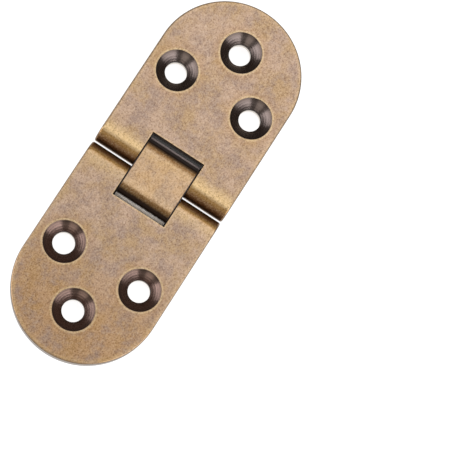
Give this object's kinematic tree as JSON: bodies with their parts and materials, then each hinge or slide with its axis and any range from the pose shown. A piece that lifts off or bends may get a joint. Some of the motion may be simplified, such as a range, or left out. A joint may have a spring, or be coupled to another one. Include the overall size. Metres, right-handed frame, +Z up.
{
  "type": "flush flap hinge",
  "caption": "Round-ended flush flap hinge: flat cast leaves joined by a central link on hidden pins, so that they fold face to face.",
  "frame": {"origin": "centre of the joint's underside, where the flat hinge stands, midway between the two pins and midway across the leaves", "axes": "+X along the hinge from leaf_a to leaf_b, +Y across it and along the pins, +Z up out of the top face"},
  "size_m": [0.081, 0.03, 0.0056],
  "materials": {
    "leaf": "antique brass plating on zinc, buffed on the flats and dark in the recesses",
    "link": "antique brass plating on zinc, buffed on top",
    "pin": "plain steel"
  },
  "bodies": {
    "leaf_a": {"leaf_a": "leaf", "pin_a": "pin"},
    "link": {"link": "link"},
    "leaf_b": {"leaf_b": "leaf", "pin_b": "pin"}
  },
  "joints": [
    {"name": "pin_a_turn", "type": "hinge", "parent": "leaf_a", "child": "link", "pos_m": [-0.0042, 0, 0.0028], "axis": [0, -1, 0], "range_deg": [0, 90]},
    {"name": "pin_b_turn", "type": "hinge", "parent": "link", "child": "leaf_b", "pos_m": [0.0042, 0, 0.0028], "axis": [0, -1, 0], "range_deg": [0, 90]}
  ]
}
